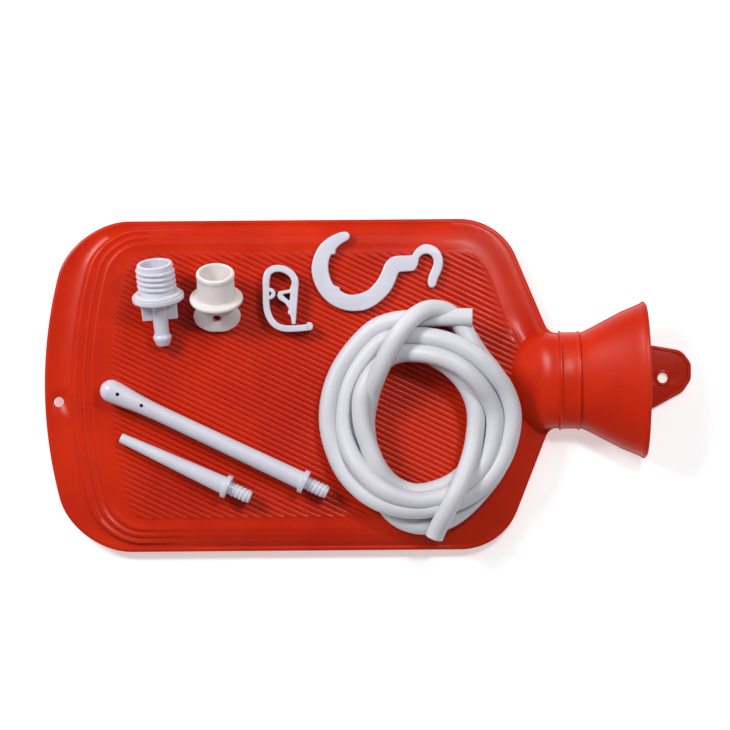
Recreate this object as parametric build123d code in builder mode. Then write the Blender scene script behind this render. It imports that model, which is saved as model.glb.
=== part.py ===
"""Rubber irrigation bag with its loose plastic fittings, millimetres.

The bag lies flat on its back panel with its neck along +X and +Z up.
The origin is under the middle of the bag, at the height it lies on.
The fittings lie on the front panel.
"""
import os
from math import cos, radians, sin

from build123d import *

# bag: two rubber panels joined along a flat rim
bag_half_length = 195.0
bag_half_width = 100.0
bag_thickness = 14.0
seam_z = bag_thickness / 2
rim_half_thickness = 1.5
panel_wall = 2.0
foot_radius = 269.0
foot_corner_radius = 50.0
shoulder_corner_radius = 37.0
shoulder_x = 81.0
foot_rim_width = 17.0
side_rim_width = 5.5
panel_slope_width = 8.0
hang_hole_radius = 3.1
hang_hole_place = (-186.5, -9.0)

# neck and filling funnel, a little off the bag's centre line
neck_y = 1.8
neck_z = 17.0
neck_wall = 2.5
neck_root_x = 92.0
neck_start_x = 115.0
neck_end_x = 127.5
mouth_x = 168.0
neck_half_width = 27.4
neck_half_height = 15.4
band_thickness = 1.2
socket_start_x = 110.0
socket_length = 18.0
socket_outer_radius = 14.0
socket_thread_radius = 12.0

# hanging tab at the rear lip of the funnel
tab_thickness = 3.0
tab_half_width = 20.0
tab_hole_x = 179.4

# the fittings lie this high, on the front panel
table_z = bag_thickness + 0.3

# screw stoppers
stopper_thread_radius = 11.75
stopper_thread_root = 10.6
stopper_thread_length = 19.8
stopper_thread_pitch = 3.2
stopper_thread_count = 5
stopper_flange_radius = 15.5
stopper_flange_thickness = 2.7
stopper_bore_radius = 8.2
barb_radius = 4.5
barb_collar_radius = 5.5
barb_length = 29.0
barb_bore_radius = 2.6

# pinch clamp, hook and nozzles
clamp_width = 8.5
clamp_band = 4.2
clamp_loop_radius = 10.85
clamp_centre = (-51.45, 60.8)
hook_thickness = 4.0
hook_centre = (-7.2, 70.2)
hook_mid_radius = 20.85
hook_band = 9.9
nozzle_flange_radius = 7.25
nozzle_flange_thickness = 3.0
nozzle_tail_radius = 4.15
nozzle_tail_length = 14.3
nozzle_bore_radius = 2.2
nozzle_thread_pitch = 2.6

# coiled tube
coil_centre = (30.9, -21.0)
coil_half_size = (60.5, 72.0)
coil_hole_centre = (32.1, -22.2)
coil_hole_half_size = (26.0, 36.5)
coil_height = 23.0

os.makedirs("parts", exist_ok=True)


def panel_outline(plane, end_inset, side_inset):
    """Outline of the bag on a plane, moved in from its rim, as a sketch."""
    radius = foot_radius - end_inset
    half_width = bag_half_width - side_inset
    foot_x = end_inset - bag_half_length
    corner_x = foot_x + radius - (radius**2 - half_width**2) ** 0.5
    right_x = shoulder_x - 0.8 * side_inset
    root_x = 110.0 - 0.8 * side_inset
    root_half_width = 28.5 - 0.5 * side_inset
    with BuildSketch(plane) as outline:
        with BuildLine():
            foot = ThreePointArc((corner_x, -half_width), (foot_x, 0), (corner_x, half_width))
            Polyline(
                foot @ 1,
                (right_x, half_width),
                (root_x, root_half_width),
                (neck_start_x - 1, root_half_width),
                (neck_start_x - 1, -root_half_width),
                (root_x, -root_half_width),
                (right_x, -half_width),
                foot @ 0,
            )
        make_face()
        corners = outline.vertices()
        for x, rounding in (
            (corner_x, foot_corner_radius - end_inset / 2),
            (right_x, shoulder_corner_radius - side_inset / 2),
        ):
            fillet(corners.filter_by_position(Axis.X, x - 0.1, x + 0.1), rounding)
            corners = outline.vertices()
    return outline.sketch


def dished_panel(side):
    """One rubber panel: half of the flat rim and a shallow tray, up (1) or down (-1)."""
    rim_z = seam_z + side * rim_half_thickness
    outer_z = seam_z + side * bag_thickness / 2
    inner_z = outer_z - side * panel_wall
    with BuildPart() as panel:
        add(panel_outline(Plane.XY.offset(seam_z), 0, 0))
        extrude(amount=side * rim_half_thickness)
        loft(
            [
                panel_outline(Plane.XY.offset(rim_z), foot_rim_width, side_rim_width),
                panel_outline(
                    Plane.XY.offset(outer_z),
                    foot_rim_width + panel_slope_width,
                    side_rim_width + panel_slope_width,
                ),
            ],
            ruled=True,
        )
        loft(
            [
                panel_outline(
                    Plane.XY.offset(seam_z),
                    foot_rim_width + panel_wall,
                    side_rim_width + panel_wall,
                ),
                panel_outline(
                    Plane.XY.offset(inner_z),
                    foot_rim_width + panel_wall + panel_slope_width,
                    side_rim_width + panel_wall + panel_slope_width,
                ),
            ],
            ruled=True,
            mode=Mode.SUBTRACT,
        )
        with BuildSketch(Plane.XY.offset(seam_z)):
            with Locations(hang_hole_place):
                Circle(hang_hole_radius)
        extrude(amount=side * rim_half_thickness, mode=Mode.SUBTRACT)
    return panel.part


def oval_section(x, half_width, low, high):
    """Oval cross-section of the neck or funnel at one place along the bag."""
    plane = Plane(origin=(x, neck_y, (low + high) / 2), x_dir=(0, 1, 0), z_dir=(1, 0, 0))
    with BuildSketch(plane) as section:
        Ellipse(half_width, (high - low) / 2)
    return section.sketch


neck_low = neck_z - neck_half_height
neck_high = neck_z + neck_half_height
outer_sections = [
    (neck_root_x, 42.5, 0.3, bag_thickness - 0.3),
    (102, 36.5, 0.3, 24),
    (socket_start_x, 30.5, 0.3, neck_high - 0.2),
    (neck_start_x, neck_half_width, neck_low, neck_high),
    (neck_end_x, neck_half_width, neck_low, neck_high),
    (140, 33.6, 0.9, 35.5),
    (152, 39.9, 0.4, 39),
    (mouth_x, 47.0, 0, 42.5),
]
chamber_sections = [
    (neck_root_x, 40.0, 2.6, bag_thickness - 2.6),
    (102, 33.5, 3.0, 21),
    (socket_start_x, 27.5, 3.6, 27),
]
funnel_sections = [
    (socket_start_x + socket_length, 25.0, neck_low + neck_wall, neck_high - neck_wall),
    (140, 31.1, 3.4, 33),
    (152, 37.4, 2.9, 36.5),
    (mouth_x, 44.5, 2.5, 40),
]

with BuildPart() as neck_blank:
    loft([oval_section(*values) for values in outer_sections], ruled=True)

with BuildPart() as front_panel:
    add(dished_panel(1))
    add(neck_blank.part, mode=Mode.SUBTRACT)
front_panel.part.label = "front_panel"
export_step(front_panel.part, "parts/front_panel.step")

with BuildPart() as back_panel:
    add(dished_panel(-1))
    add(neck_blank.part, mode=Mode.SUBTRACT)
back_panel.part.label = "back_panel"
export_step(back_panel.part, "parts/back_panel.step")

socket_plane = Plane(origin=(socket_start_x, neck_y, neck_z), x_dir=(0, 1, 0), z_dir=(1, 0, 0))

with BuildPart() as neck_funnel:
    add(neck_blank.part)
    loft([oval_section(*values) for values in chamber_sections], ruled=True, mode=Mode.SUBTRACT)
    loft([oval_section(*values) for values in funnel_sections], ruled=True, mode=Mode.SUBTRACT)
    with BuildSketch(socket_plane):
        Circle(socket_outer_radius)
    extrude(amount=socket_length, mode=Mode.SUBTRACT)
neck_funnel.part.label = "neck_funnel"
export_step(neck_funnel.part, "parts/neck_funnel.step")

with BuildPart() as neck_socket:
    with BuildSketch(socket_plane):
        Circle(socket_outer_radius)
        Circle(socket_thread_radius, mode=Mode.SUBTRACT)
    extrude(amount=socket_length)
neck_socket.part.label = "neck_socket"
export_step(neck_socket.part, "parts/neck_socket.step")

with BuildPart() as neck_band:
    with BuildSketch(socket_plane.offset(neck_start_x - socket_start_x)):
        Ellipse(neck_half_width + band_thickness, neck_half_height + band_thickness)
        Ellipse(neck_half_width, neck_half_height, mode=Mode.SUBTRACT)
    extrude(amount=neck_end_x - neck_start_x)
    chamfer(neck_band.edges().group_by(Axis.X)[-1], 0.3)
neck_band.part.label = "neck_band"
export_step(neck_band.part, "parts/neck_band.step")

with BuildPart() as hanging_tab:
    with BuildSketch(Plane.XY):
        with BuildLine():
            Polyline(
                (mouth_x, neck_y - tab_half_width),
                (175, neck_y - 0.93 * tab_half_width),
                (bag_half_length, neck_y - 0.46 * tab_half_width),
                (bag_half_length, neck_y + 0.46 * tab_half_width),
                (175, neck_y + 0.93 * tab_half_width),
                (mouth_x, neck_y + tab_half_width),
                close=True,
            )
        make_face()
        with Locations((tab_hole_x, neck_y)):
            Circle(hang_hole_radius, mode=Mode.SUBTRACT)
    extrude(amount=tab_thickness)
    tip_edges = hanging_tab.edges().filter_by(Axis.Z).sort_by(Axis.X)[-2:]
    fillet(tip_edges, 8.0)
hanging_tab.part.label = "hanging_tab"
export_step(hanging_tab.part, "parts/hanging_tab.step")


def lying_plane(x, y, z, heading, drop):
    """Plane whose X runs along a lying piece: heading seen from above, drop below level."""
    along = radians(heading)
    down = radians(drop)
    forward = (cos(down) * cos(along), cos(down) * sin(along), -sin(down))
    upward = (sin(down) * cos(along), sin(down) * sin(along), cos(down))
    return Plane(origin=(x, y, z), x_dir=forward, z_dir=upward)


def turned(plane, points):
    """Solid of revolution about the plane's X from (along, radius) points."""
    with BuildPart() as turning:
        with BuildSketch(plane):
            with BuildLine():
                Polyline(*points, close=True)
            make_face()
        revolve(axis=Axis(plane.origin, plane.x_dir))
    return turning.part


def ridges(start, pitch, count, root, crest):
    """Profile points of a row of thread or barb ridges, (along, radius)."""
    points = [(start, root)]
    for number in range(count):
        ridge = start + number * pitch
        points += [(ridge + 0.4 * pitch, crest), (ridge + 0.6 * pitch, crest)]
        points += [(ridge + pitch, root)]
    return points


# tube stopper, resting on its flange and the tip of its barb
stopper_drop = 20.5
flange_low = stopper_flange_radius * cos(radians(stopper_drop))
flange_low += stopper_flange_thickness * sin(radians(stopper_drop))
tube_stopper_plane = lying_plane(-125.8, 52.6, table_z + flange_low, -85.8, stopper_drop)
thread_start = -stopper_thread_length
barb_start = stopper_flange_thickness
barb_end = stopper_flange_thickness + barb_length

with BuildPart() as tube_stopper:
    profile = [(thread_start, stopper_bore_radius), (thread_start, stopper_thread_root)]
    profile += ridges(
        thread_start + 0.6,
        stopper_thread_pitch,
        stopper_thread_count,
        stopper_thread_root,
        stopper_thread_radius,
    )
    profile += [
        (0, stopper_thread_root),
        (0, stopper_flange_radius),
        (barb_start, stopper_flange_radius),
        (barb_start, barb_radius),
        (barb_end - 7, barb_radius),
        (barb_end - 5.5, barb_collar_radius),
        (barb_end - 4, barb_collar_radius),
        (barb_end, barb_radius - 0.6),
        (barb_end, barb_bore_radius),
        (-2.5, barb_bore_radius),
        (-2.5, stopper_bore_radius),
    ]
    add(turned(tube_stopper_plane, profile))
    for side in (-1, 1):
        with BuildSketch(tube_stopper_plane.offset(-1.3)):
            with Locations((barb_start + 5.5, side * 7.4)):
                Rectangle(11, 7.2)
        extrude(amount=2.6)
tube_stopper.part.label = "tube_stopper"
export_step(tube_stopper.part, "parts/tube_stopper.step")

with BuildPart() as tube_stopper_washer:
    add(turned(tube_stopper_plane, [(-1.8, 10.8), (-1.8, 13.4), (0, 14.2), (0, 10.8)]))
tube_stopper_washer.part.label = "tube_stopper_washer"
export_step(tube_stopper_washer.part, "parts/tube_stopper_washer.step")

# plain push-in stopper, resting on its flange and the end of its finger tab
plug_drop = 30.0
plug_flange_radius = 16.0
plug_flange_thickness = 2.5
plug_low = plug_flange_radius * cos(radians(plug_drop))
plug_low += plug_flange_thickness * sin(radians(plug_drop))
plain_stopper_plane = lying_plane(-89.6, 53.4, table_z + plug_low, -90, plug_drop)

with BuildPart() as plain_stopper:
    add(
        turned(
            plain_stopper_plane,
            [
                (-15.5, 9.2),
                (-15.5, 10.9),
                (-14.6, 11.4),
                (-12.5, 11.4),
                (-11.8, 11.0),
                (0, 11.5),
                (0, plug_flange_radius),
                (plug_flange_thickness, plug_flange_radius),
                (plug_flange_thickness, 0),
                (-2.0, 0),
                (-2.0, 9.2),
            ],
        )
    )
    with BuildSketch(plain_stopper_plane.offset(-1.9)):
        with BuildLine():
            fan = Polyline((2.4, -9.5), (6.5, -9.5), (16.5, -14.0))
            end = ThreePointArc(fan @ 1, (25.4, 0), (16.5, 14.0))
            Polyline(end @ 1, (6.5, 9.5), (2.4, 9.5), (2.4, -9.5))
        make_face()
        with Locations((15.8, 0)):
            Circle(2.3, mode=Mode.SUBTRACT)
    extrude(amount=3.8)
plain_stopper.part.label = "plain_stopper"
export_step(plain_stopper.part, "parts/plain_stopper.step")

# pinch clamp: one moulded strip; its loop is the hinge between the two arms
clamp_plane = Plane.XY.offset(table_z)
loop_x, loop_y = clamp_centre
loop_inner_radius = clamp_loop_radius - clamp_band
left_x = loop_x - clamp_loop_radius + clamp_band / 2
pad_centre = (-58.0, 55.2)

with BuildPart() as clamp_loop:
    with BuildSketch(clamp_plane):
        with Locations(clamp_centre):
            Circle(clamp_loop_radius)
            Circle(loop_inner_radius, mode=Mode.SUBTRACT)
        with Locations((loop_x, loop_y - clamp_loop_radius)):
            Rectangle(2 * clamp_loop_radius, 2 * clamp_loop_radius, mode=Mode.SUBTRACT)
    extrude(amount=clamp_width)
clamp_loop.part.label = "clamp_loop"
export_step(clamp_loop.part, "parts/clamp_loop.step")

with BuildPart() as clamp_latch_arm:
    with BuildSketch(clamp_plane):
        with BuildLine():
            upright = Line((left_x, loop_y), (left_x, 48.0))
            curve = ThreePointArc(upright @ 1, (-56.0, 37.6), (-47.6, 34.0))
            Line(curve @ 1, (-34.2, 34.7))
        trace(line_width=clamp_band - 0.3)
        with Locations((-34.2, 35.2)):
            Circle(2.6)
        with Locations(pad_centre):
            Circle(3.5)
            Circle(1.1, mode=Mode.SUBTRACT)
    extrude(amount=clamp_width)
clamp_latch_arm.part.label = "clamp_latch_arm"
export_step(clamp_latch_arm.part, "parts/clamp_latch_arm.step")

with BuildPart() as clamp_jaw_arm:
    with BuildSketch(clamp_plane):
        with BuildLine():
            Polyline(
                (loop_x + clamp_loop_radius, loop_y),
                (-42.6, 36.7),
                (-44.8, 36.7),
                (-45.4, 41.4),
                (-47.3, 43.7),
                (-46.5, 46.0),
                (-48.8, 49.4),
                (-52.4, 51.7),
                (-53.5, 54.0),
                (-52.4, 56.6),
                (-45.8, 57.6),
                (loop_x + loop_inner_radius, loop_y),
                close=True,
            )
        make_face()
    extrude(amount=clamp_width)
    with BuildSketch(clamp_plane.offset(clamp_width)):
        with BuildLine():
            Polyline((-50.6, 54.6), (-45.6, 55.6), (-46.0, 50.6), close=True)
        make_face()
    extrude(amount=-3, mode=Mode.SUBTRACT)
clamp_jaw_arm.part.label = "clamp_jaw_arm"
export_step(clamp_jaw_arm.part, "parts/clamp_jaw_arm.step")

# flat double-ended hook: a large open hook for a rail, a small one for the bag
with BuildPart() as hanging_hook:
    with BuildSketch(Plane.XY.offset(table_z)):
        with BuildLine():
            bow = CenterArc(hook_centre, hook_mid_radius, 120, 235)
            bend = TangentArc(bow @ 1, (18.6, 73.3), tangent=bow % 1)
            Line(bend @ 1, (29.4, 73.7))
        trace(line_width=hook_band)
        with BuildLine():
            CenterArc(hook_centre, hook_mid_radius, 104, 18)
        trace(line_width=6.4)
        with Locations((-12.2, 90.4)):
            Circle(3.2)
        with BuildLine():
            eye = CenterArc((36.0, 73.9), 7.5, 190, -190)
            Polyline(eye @ 1, (40.2, 66.4), (39.4, 61.6))
        trace(line_width=5.2)
        with Locations((39.4, 61.6)):
            Circle(2.6)
    extrude(amount=hook_thickness)
hanging_hook.part.label = "hanging_hook"
export_step(hanging_hook.part, "parts/hanging_hook.step")


def nozzle(plane, tip_points, length, hole_places):
    """A turned nozzle: shaped tip, flange, ridged tail for the tube and a bore."""
    flange_end = length - nozzle_tail_length
    flange_start = flange_end - nozzle_flange_thickness
    points = tip_points(flange_start)
    points += [(flange_start, nozzle_flange_radius), (flange_end, nozzle_flange_radius)]
    points += [(flange_end, nozzle_tail_radius - 0.7)]
    points += ridges(
        flange_end + 0.8,
        nozzle_thread_pitch,
        5,
        nozzle_tail_radius - 0.7,
        nozzle_tail_radius,
    )
    points += [(length, nozzle_tail_radius - 0.9), (length, 0)]
    with BuildPart() as body:
        add(turned(plane, points))
        bore_plane = Plane(plane.location * Location((length, 0, 0), (0, -90, 0)))
        with BuildSketch(bore_plane):
            Circle(nozzle_bore_radius)
        extrude(amount=length - 9 if hole_places else length, mode=Mode.SUBTRACT)
        if hole_places:
            with BuildSketch(plane):
                with Locations(*[(place, 0) for place in hole_places]):
                    Circle(1.05)
            extrude(amount=10, both=True, mode=Mode.SUBTRACT)
    return body.part


def bulb_tip(flange_start):
    """Rounded bulb, waist and gently swelling stem of the long nozzle."""
    bulb = [(6.85 * (1 - cos(radians(a))), 6.85 * sin(radians(a))) for a in range(0, 136, 15)]
    return bulb + [(16, 4.85), (flange_start, 5.45)]


def square_tip(flange_start):
    """Square-cut tip and taper of the short nozzle."""
    return [(0, 0), (0, 2.8), (0.4, 3.05), (flange_start, 5.45)]


long_nozzle_plane = lying_plane(-159.5, 0.6, table_z + 6.95, -25.7, -0.15)
short_nozzle_plane = lying_plane(-148.2, -30.6, table_z + 3.1, -25.0, -3.4)

with BuildPart() as long_nozzle:
    add(nozzle(long_nozzle_plane, bulb_tip, 150, (11.5, 27.2)))
long_nozzle.part.label = "long_nozzle"
export_step(long_nozzle.part, "parts/long_nozzle.step")

with BuildPart() as short_nozzle:
    add(nozzle(short_nozzle_plane, square_tip, 86, ()))
short_nozzle.part.label = "short_nozzle"
export_step(short_nozzle.part, "parts/short_nozzle.step")

# the soft tube lies in one loose coil
with BuildPart() as tube_coil:
    with BuildSketch(Plane.XY.offset(table_z)):
        with Locations(coil_centre):
            Ellipse(*coil_half_size)
        with Locations(coil_hole_centre):
            Ellipse(*coil_hole_half_size, mode=Mode.SUBTRACT)
    extrude(amount=coil_height)
    chamfer(tube_coil.edges().group_by(Axis.Z)[-1], 6)
tube_coil.part.label = "tube_coil"
export_step(tube_coil.part, "parts/tube_coil.step")
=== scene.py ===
from math import ceil, cos, hypot, pi, radians, sin, tan

import bmesh
import bpy
from mathutils import Matrix, Vector, geometry, noise


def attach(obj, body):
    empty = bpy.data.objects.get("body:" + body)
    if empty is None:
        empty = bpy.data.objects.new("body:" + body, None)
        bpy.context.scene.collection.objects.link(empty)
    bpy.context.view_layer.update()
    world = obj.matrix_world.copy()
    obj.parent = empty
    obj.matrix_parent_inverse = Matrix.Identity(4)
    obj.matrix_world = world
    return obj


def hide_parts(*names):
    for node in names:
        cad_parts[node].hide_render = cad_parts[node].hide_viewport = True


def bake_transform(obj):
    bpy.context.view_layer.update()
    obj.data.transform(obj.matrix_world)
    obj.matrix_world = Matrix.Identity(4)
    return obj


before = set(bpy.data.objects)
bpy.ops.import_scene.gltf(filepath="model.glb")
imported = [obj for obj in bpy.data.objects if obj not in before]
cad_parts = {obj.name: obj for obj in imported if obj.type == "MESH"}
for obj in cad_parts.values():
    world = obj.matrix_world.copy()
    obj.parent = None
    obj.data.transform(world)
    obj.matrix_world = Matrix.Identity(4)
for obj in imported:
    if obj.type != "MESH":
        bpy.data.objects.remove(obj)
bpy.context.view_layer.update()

scene = bpy.context.scene


# ---- Camera, floor and lights ----
# The bag lies on a pale table and is seen from straight above.
# A large soft lamp stands at the upper left, two weaker ones towards the right.

scene.view_settings.view_transform = "Standard"

camera_data = bpy.data.cameras.new("overhead_camera")
camera_data.lens = 123.3
camera_data.sensor_width = 36.0
camera = bpy.data.objects.new("overhead_camera", camera_data)
camera.location = (-0.0012, 0.0120, 1.520)
camera.rotation_euler = (0.0, 0.0, radians(-0.45))
scene.collection.objects.link(camera)
scene.camera = camera


def pale_paint(name, colour, roughness, glow):
    """Matt paint for the lit table top, slightly uneven."""
    paint = bpy.data.materials.new(name)
    paint.use_nodes = True
    nodes = paint.node_tree.nodes
    shader = nodes["Principled BSDF"]
    place = nodes.new("ShaderNodeTexCoord")
    cloud = nodes.new("ShaderNodeTexNoise")
    cloud.inputs["Scale"].default_value = 3.0
    shade = nodes.new("ShaderNodeValToRGB")
    shade.color_ramp.elements[0].color = tuple(0.99 * part for part in colour) + (1.0,)
    shade.color_ramp.elements[1].color = tuple(colour) + (1.0,)
    links = paint.node_tree.links
    links.new(place.outputs["Object"], cloud.inputs["Vector"])
    links.new(cloud.outputs["Fac"], shade.inputs["Fac"])
    links.new(shade.outputs["Color"], shader.inputs["Base Color"])
    shader.inputs["Roughness"].default_value = roughness
    shader.inputs["Emission Color"].default_value = (1.0, 1.0, 1.0, 1.0)
    shader.inputs["Emission Strength"].default_value = glow
    return paint


floor_half_size = 3.0
floor_level = -0.0003
table_mesh = bpy.data.meshes.new("table_top")
table_mesh.from_pydata(
    [
        (-floor_half_size, -floor_half_size, floor_level),
        (floor_half_size, -floor_half_size, floor_level),
        (floor_half_size, floor_half_size, floor_level),
        (-floor_half_size, floor_half_size, floor_level),
    ],
    [],
    [(0, 1, 2, 3)],
)
table_mesh.materials.append(pale_paint("pale_table", (0.93, 0.93, 0.94), 0.8, 0.40))
table_top = bpy.data.objects.new("table_top", table_mesh)
scene.collection.objects.link(table_top)

sky = bpy.data.worlds.new("soft_room")
sky.use_nodes = True
sky.node_tree.nodes["Background"].inputs["Color"].default_value = (1.0, 1.0, 1.0, 1.0)
sky.node_tree.nodes["Background"].inputs["Strength"].default_value = 0.25
scene.world = sky

for name, place, size, power in (
    ("window_lamp", (-0.80, 0.55, 0.85), 0.36, 10.5),
    ("fill_lamp", (0.35, 0.75, 1.10), 0.80, 2.4),
    ("small_lamp", (0.20, 0.23, 0.56), 0.07, 1.1),
):
    lamp_data = bpy.data.lights.new(name, "AREA")
    lamp_data.shape = "SQUARE"
    lamp_data.size = size
    lamp_data.energy = power
    lamp = bpy.data.objects.new(name, lamp_data)
    lamp.location = place
    lamp.rotation_euler = (-Vector(place)).to_track_quat("-Z", "Y").to_euler()
    scene.collection.objects.link(lamp)


# ---- Soft tube ----
# A limp white tube, 11 mm outside and 7 mm inside, extruded and cut square.
# Both ends are bare. It lies in one loose coil on the bag, tied by nothing.


def moulded_finish(name, light, dark, patch, roughness, grain, grain_height):
    """Moulded skin: uneven colour in patches (mm), a fine grain (mm) and uneven gloss."""
    finish = bpy.data.materials.new(name)
    finish.use_nodes = True
    nodes = finish.node_tree.nodes
    links = finish.node_tree.links
    shader = nodes["Principled BSDF"]
    place = nodes.new("ShaderNodeTexCoord")
    cloud = nodes.new("ShaderNodeTexNoise")
    cloud.inputs["Scale"].default_value = 1000.0 / patch
    cloud.inputs["Detail"].default_value = 4.0
    tone = nodes.new("ShaderNodeValToRGB")
    tone.color_ramp.elements[0].position = 0.30
    tone.color_ramp.elements[0].color = tuple(dark) + (1.0,)
    tone.color_ramp.elements[1].position = 0.68
    tone.color_ramp.elements[1].color = tuple(light) + (1.0,)
    smear = nodes.new("ShaderNodeTexNoise")
    smear.inputs["Scale"].default_value = 420.0 / patch
    smear.inputs["Detail"].default_value = 3.0
    gloss = nodes.new("ShaderNodeMapRange")
    gloss.inputs["From Min"].default_value = 0.3
    gloss.inputs["From Max"].default_value = 0.7
    gloss.inputs["To Min"].default_value = roughness - 0.05
    gloss.inputs["To Max"].default_value = roughness + 0.07
    skin_grain = nodes.new("ShaderNodeTexNoise")
    skin_grain.inputs["Scale"].default_value = 1000.0 / grain
    skin_grain.inputs["Detail"].default_value = 5.0
    relief = nodes.new("ShaderNodeBump")
    relief.inputs["Distance"].default_value = grain_height / 1000.0
    relief.inputs["Strength"].default_value = 0.6
    for texture in (cloud, smear, skin_grain):
        links.new(place.outputs["Object"], texture.inputs["Vector"])
    links.new(cloud.outputs["Fac"], tone.inputs["Fac"])
    links.new(tone.outputs["Color"], shader.inputs["Base Color"])
    links.new(smear.outputs["Fac"], gloss.inputs["Value"])
    links.new(gloss.outputs["Result"], shader.inputs["Roughness"])
    links.new(skin_grain.outputs["Fac"], relief.inputs["Height"])
    links.new(relief.outputs["Normal"], shader.inputs["Normal"])
    return finish


def make_piece(name, shells, finish, crease=35.0):
    """One object from closed shells of points (mm) and faces, faces turned outwards."""
    points = []
    faces = []
    for shell_points, shell_faces in shells:
        first = len(points)
        points += [tuple(part / 1000.0 for part in point) for point in shell_points]
        faces += [tuple(first + corner for corner in face) for face in shell_faces]
    mesh = bpy.data.meshes.new(name)
    mesh.from_pydata(points, [], faces)
    shape = bmesh.new()
    shape.from_mesh(mesh)
    bmesh.ops.recalc_face_normals(shape, faces=shape.faces)
    shape.to_mesh(mesh)
    shape.free()
    mesh.shade_smooth()
    mesh.set_sharp_from_angle(angle=radians(crease))
    mesh.materials.append(finish)
    made = bpy.data.objects.new(name, mesh)
    scene.collection.objects.link(made)
    return made


tube_finish = moulded_finish(
    "soft_white_tube", (0.68, 0.68, 0.72), (0.62, 0.62, 0.67), 30.0, 0.42, 1.2, 0.05
)
tube_shader = tube_finish.node_tree.nodes["Principled BSDF"]
tube_shader.inputs["Subsurface Weight"].default_value = 0.12
tube_shader.inputs["Subsurface Radius"].default_value = (0.004, 0.004, 0.004)
tube_shader.inputs["Subsurface Scale"].default_value = 0.5
tube_shader.inputs["IOR"].default_value = 1.43

tube_radius = 5.5
tube_bore_radius = 3.5
coil_middle = (32.4, -21.6)
coil_floor = 14.3 + tube_radius
layer_height = 9.6
coil_spread = 1.02

# angle round the middle (degrees), distance from it (mm), height in layers of tube
tube_turns = (
    ((63.6, 67.2, 1.5), (72, 63.5, 1.45), (82, 61, 1.3), (93, 60, 0.9), (106, 61.5, 0.3)),
    ((120, 61.7, 0), (150, 58.5, 0), (180, 56.7, 0), (208, 55.4, 0.1), (225, 54.8, 0.6)),
    ((240, 54.2, 1), (255, 53.2, 1.05), (272, 52.5, 0.95), (300, 53.2, 0.95), (330, 53.9, 1.05)),
    ((360, 54.4, 1.1), (378, 52.8, 1.35), (392, 50.6, 1.9), (408, 49.6, 2.2), (422, 49.3, 2.2)),
    ((436, 49.3, 2), (450, 49.8, 1.5), (465, 51.5, 0.8), (480, 52.6, 0.2), (510, 49, 0)),
    ((540, 46.2, 0.1), (560, 45.8, 0.5), (575, 45.7, 1), (590, 45.8, 1.3), (602, 46.2, 1.5)),
    ((616, 46.8, 1.35), (632, 47.4, 1.15), (660, 47.4, 1.1), (690, 45.8, 1.1), (720, 43.8, 1.1)),
    ((736, 41.8, 1.4), (752, 39.8, 2), (768, 39, 2.3), (782, 38.8, 2.3), (796, 39, 2.15)),
    ((810, 39.6, 1.7), (825, 41.5, 1.1), (840, 42.5, 0.9), (870, 40.6, 1), (900, 36, 1)),
    ((930, 34.8, 1), (945, 37.3, 1), (960, 40.3, 0.6), (974, 42.3, 0.1), (990, 43.4, 0)),
    ((1020, 41.8, 0), (1050, 39.8, 0), (1078, 39.8, 0.05), (1094, 40.3, 0.3), (1106, 41.8, 0.8)),
    ((1117, 44.8, 1.05), (1130, 50, 1.1), (1140, 56, 1.1), (1149, 62, 1.1), (1157, 66.3, 1.3)),
    ((1166, 66, 1.8), (1174, 61.5, 2.3), (1183, 54, 2.4), (1193, 46.5, 2.2), (1206, 40, 1.85)),
    ((1219, 36, 1.35), (1233, 33.6, 0.7), (1260, 33.2, 0), (1285, 34.6, 0), (1305, 41, 0)),
    ((1320, 51, 0), (1335, 59.8, 0), (1350, 62.8, 0), (1365, 61, 0), (1380, 57, 0)),
    ((1410, 54.2, 0.1), (1440, 53.0, 0.25), (1460, 52.6, 0), (1475, 51.4, 0), (1488, 51.6, 0)),
    ((1499, 56, 0), (1509, 61.6, 0), (1519, 64.5, 0.1), (1529, 62, 0.3), (1536, 56, 0.6)),
    ((1537.5, 49, 0.8), (1532, 42.6, 1), (1519, 38.2, 1.05), (1502, 35.6, 1.05)),
    ((1484, 34, 1.05), (1464, 33, 1.05), (1444, 32.3, 1.05), (1421, 32.5, 1.1)),
    ((1408, 34.3, 1.3), (1395, 37.3, 1.6), (1382, 42.2, 2), (1372, 48, 2.15), (1365, 54.2, 1.95)),
    ((1360, 60.2, 1.6), (1357, 64.8, 1.3), (1355.5, 68.4, 1.2)),
)
route = []
for turn in tube_turns:
    for angle, reach, level in turn:
        outward = coil_spread * reach
        route.append(
            (
                (coil_middle[0] + outward * cos(radians(angle))) / 1000.0,
                (coil_middle[1] + outward * sin(radians(angle))) / 1000.0,
                (coil_floor + layer_height * level) / 1000.0,
            )
        )

route_curve = bpy.data.curves.new("tube_route", "CURVE")
route_curve.dimensions = "3D"
route_curve.resolution_u = 7
spline = route_curve.splines.new("NURBS")
spline.points.add(len(route) - 1)
for control, place in zip(spline.points, route):
    control.co = (*place, 1.0)
spline.order_u = 3
spline.use_endpoint_u = True
route_object = bpy.data.objects.new("tube_route", route_curve)
scene.collection.objects.link(route_object)
route_mesh = bpy.data.meshes.new_from_object(route_object)
tube_line = [vertex.co.copy() for vertex in route_mesh.vertices]
bpy.data.objects.remove(route_object)


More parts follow.
